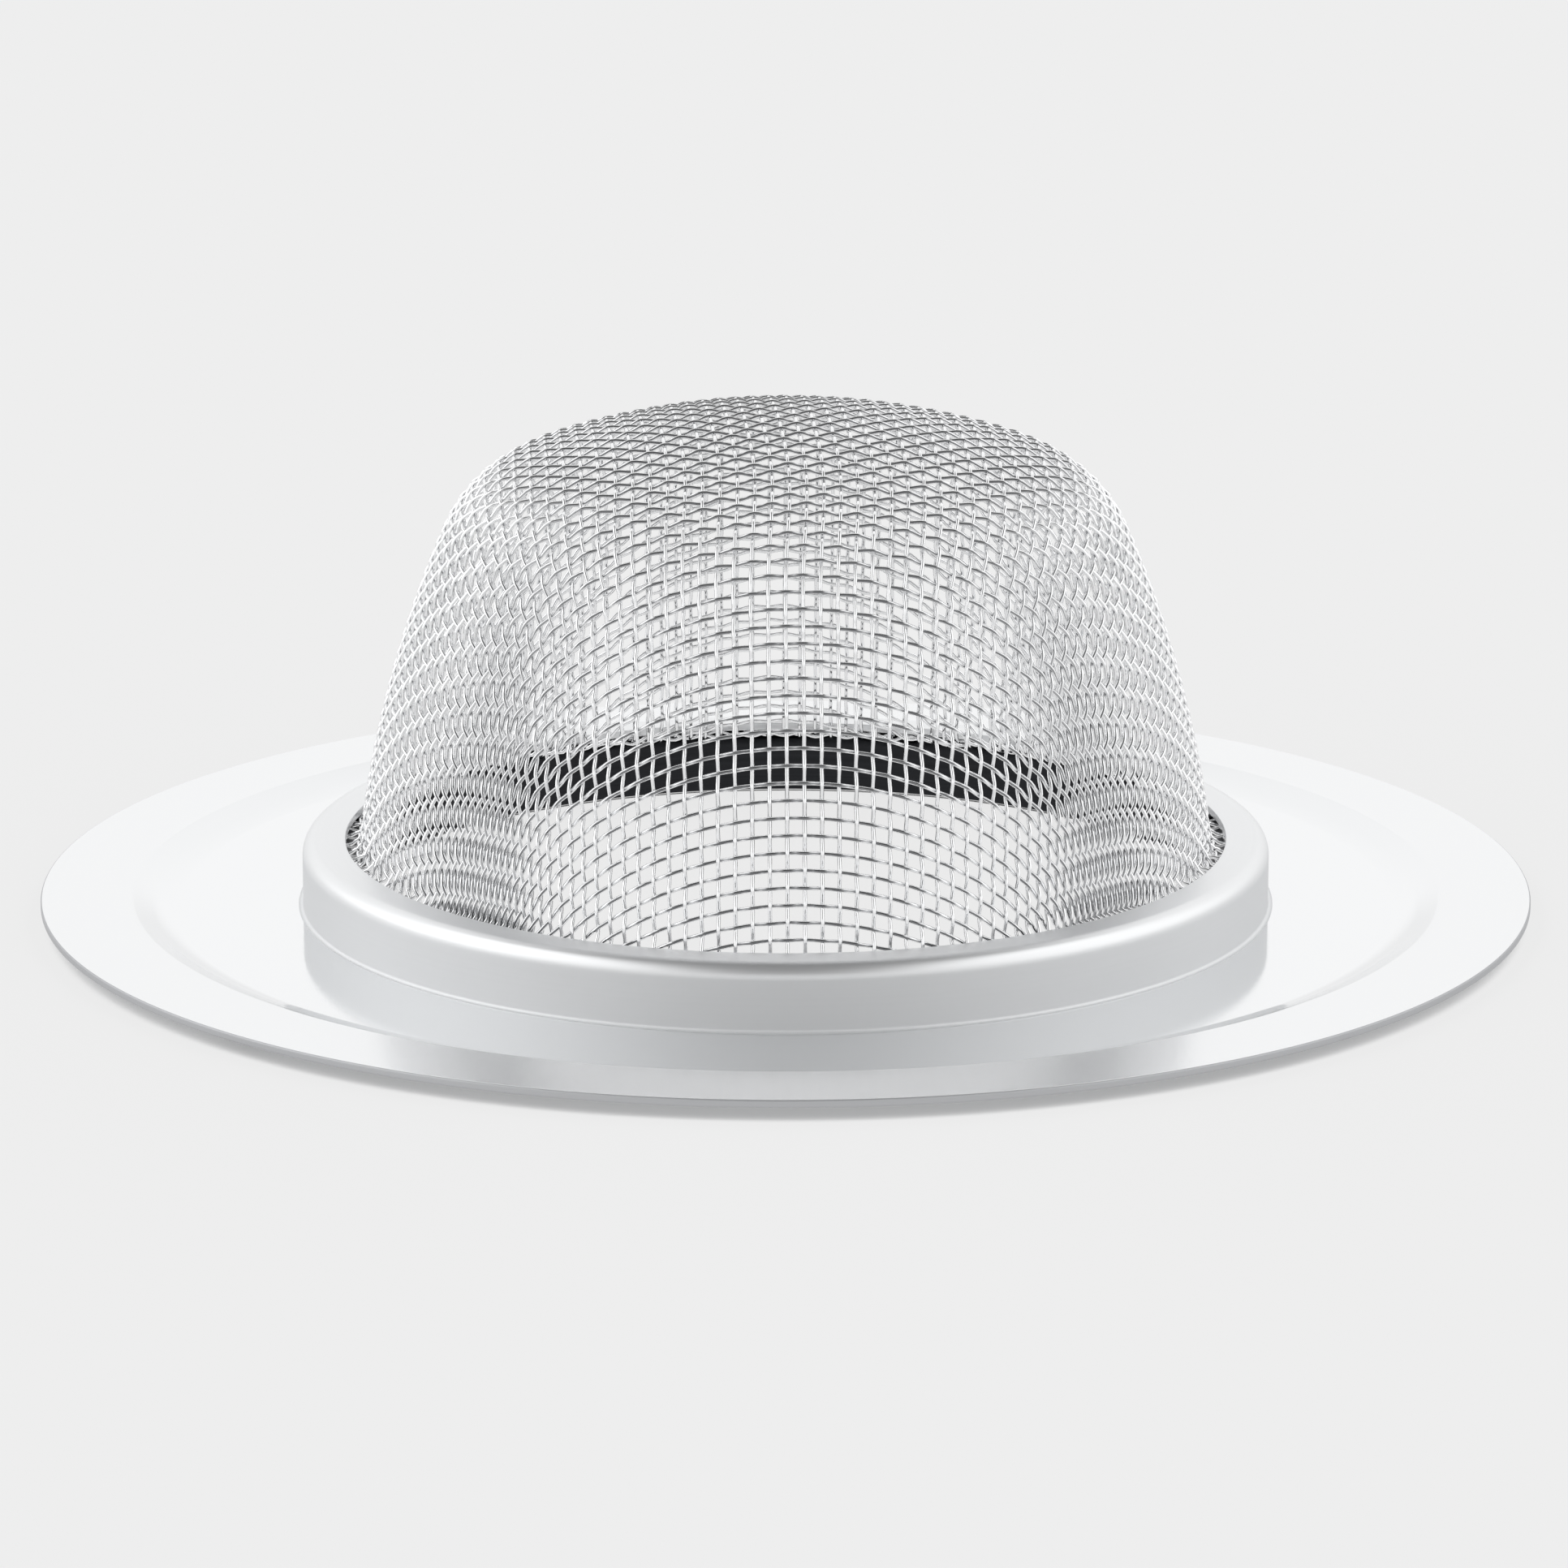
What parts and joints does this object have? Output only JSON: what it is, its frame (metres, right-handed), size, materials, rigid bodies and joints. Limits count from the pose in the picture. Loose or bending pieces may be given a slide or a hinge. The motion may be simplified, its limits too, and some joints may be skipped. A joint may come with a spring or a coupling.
{
  "type": "sink strainer",
  "caption": "Sink strainer: a drawn woven-wire basket held under the inward lip of a stamped steel rim with a collar, a recessed ring and a flat brim.",
  "frame": {"origin": "on the axis, at the underside of the rim's recessed ring, which is what the strainer stands on when it is set down rim first", "axes": "+Z along the axis from the rim to the crown of the basket, -Y to the front; in use the strainer hangs the other way up, basket down in the drain"},
  "size_m": [0.114, 0.114, 0.0385],
  "materials": {
    "polished_steel": "stamped stainless sheet, polished",
    "wire_steel": "drawn stainless wire, plain weave",
    "ring_steel": "rolled steel strip, unpolished and dark"
  },
  "bodies": {
    "root": {"rim": "polished_steel", "mesh_basket": "wire_steel", "retaining_ring": "ring_steel"}
  },
  "joints": []
}
